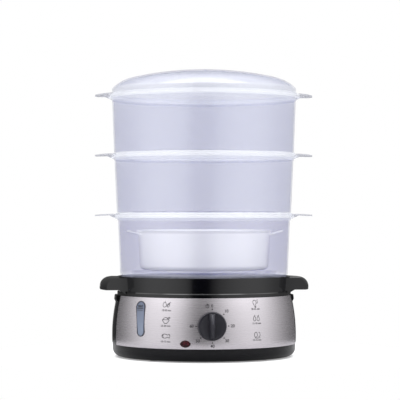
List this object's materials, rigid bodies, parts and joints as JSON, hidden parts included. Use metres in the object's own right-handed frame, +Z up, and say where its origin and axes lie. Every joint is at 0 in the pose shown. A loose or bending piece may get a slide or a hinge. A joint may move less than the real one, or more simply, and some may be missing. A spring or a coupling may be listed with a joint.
{
  "type": "electric food steamer",
  "caption": "Round electric food steamer: water base with wind-up timer knob, gauge window and lamp, drip tray, stacked frosted bowls, rice bowl and domed lid.",
  "frame": {"origin": "on the bowls' common vertical axis, in the plane of the feet's undersides", "axes": "+Z up, +X to the viewer's right across the carrying tabs, -Y towards the knob"},
  "size_m": [0.298, 0.2699, 0.3905],
  "materials": {
    "frosted_plastic": "translucent frosted polypropylene, satin",
    "rice_plastic": "milky polypropylene, satin",
    "black_gloss": "moulded black, polished",
    "black_satin": "moulded black, satin",
    "brushed_steel": "brushed along its width",
    "cast_aluminium": "cast, bead blasted",
    "steel": "zinc plated",
    "brass": "plain",
    "rubber": "soft, matt",
    "silicone": "translucent white silicone",
    "gauge_plastic": "clear, smoky blue",
    "red_lens": "transparent red",
    "lamp_glass": "clear glass",
    "pale_plastic": "natural nylon",
    "wire_insulation": "silicone sleeve"
  },
  "bodies": {
    "base": {"water_tank": "black_gloss", "housing": "black_satin", "steel_wrap": "brushed_steel", "bottom_cover": "black_satin", "feet": "rubber", "cover_screws": "steel", "heater_plate": "cast_aluminium", "heater_element": "steel", "heater_seal": "silicone", "heater_clamp": "steel", "heater_screws": "steel", "thermostat": "steel", "thermal_fuse": "steel", "gauge_window": "gauge_plastic", "gauge_seal": "silicone", "indicator_lens": "red_lens", "neon_lamp": "lamp_glass", "lamp_holder": "pale_plastic", "timer_case": "steel", "timer_plate": "steel", "timer_screws": "steel", "timer_mainspring": "steel", "timer_bell": "steel", "timer_switch": "pale_plastic", "terminal_block": "pale_plastic", "terminal_screws": "brass", "cord_gland": "rubber", "wire_live": "wire_insulation", "wire_load": "wire_insulation", "wire_neutral": "wire_insulation", "wire_earth": "wire_insulation"},
    "dial": {"knob": "black_satin", "timer_shaft": "steel", "timer_cam": "pale_plastic"},
    "turbo": {"turbo_ring": "pale_plastic"},
    "tray": {"drip_tray": "black_gloss"},
    "bottom_bowl": {"steam_bowl_bottom": "frosted_plastic"},
    "rice": {"rice_bowl": "rice_plastic"},
    "middle_bowl": {"steam_bowl_middle": "frosted_plastic"},
    "top_bowl": {"steam_bowl_top": "frosted_plastic"},
    "lid": {"lid": "frosted_plastic"}
  },
  "joints": [
    {"name": "knob_turn", "type": "hinge", "parent": "base", "child": "dial", "pos_m": [0, -0.12, 0.0482], "axis": [0, 1, 0], "range_deg": [0, 270]},
    {"name": "tray_lift", "type": "slide", "parent": "base", "child": "tray", "axis": [0, 0, 1], "range_m": [0, 0.15]},
    {"name": "turbo_lift", "type": "slide", "parent": "base", "child": "turbo", "axis": [0, 0, 1], "range_m": [0, 0.075]},
    {"name": "bottom_bowl_lift", "type": "slide", "parent": "tray", "child": "bottom_bowl", "axis": [0, 0, 1], "range_m": [0, 0.1]},
    {"name": "middle_bowl_lift", "type": "slide", "parent": "bottom_bowl", "child": "middle_bowl", "axis": [0, 0, 1], "range_m": [0, 0.19]},
    {"name": "rice_lift", "type": "slide", "parent": "bottom_bowl", "child": "rice", "axis": [0, 0, 1], "range_m": [0, 0.095]},
    {"name": "top_bowl_lift", "type": "slide", "parent": "middle_bowl", "child": "top_bowl", "axis": [0, 0, 1], "range_m": [0, 0.1]},
    {"name": "lid_lift", "type": "slide", "parent": "top_bowl", "child": "lid", "axis": [0, 0, 1], "range_m": [0, 0.1]}
  ],
  "couplings": [
    {"joint": "turbo_lift", "follows": "tray_lift", "ratio": 0.5},
    {"joint": "rice_lift", "follows": "middle_bowl_lift", "ratio": 0.5}
  ]
}
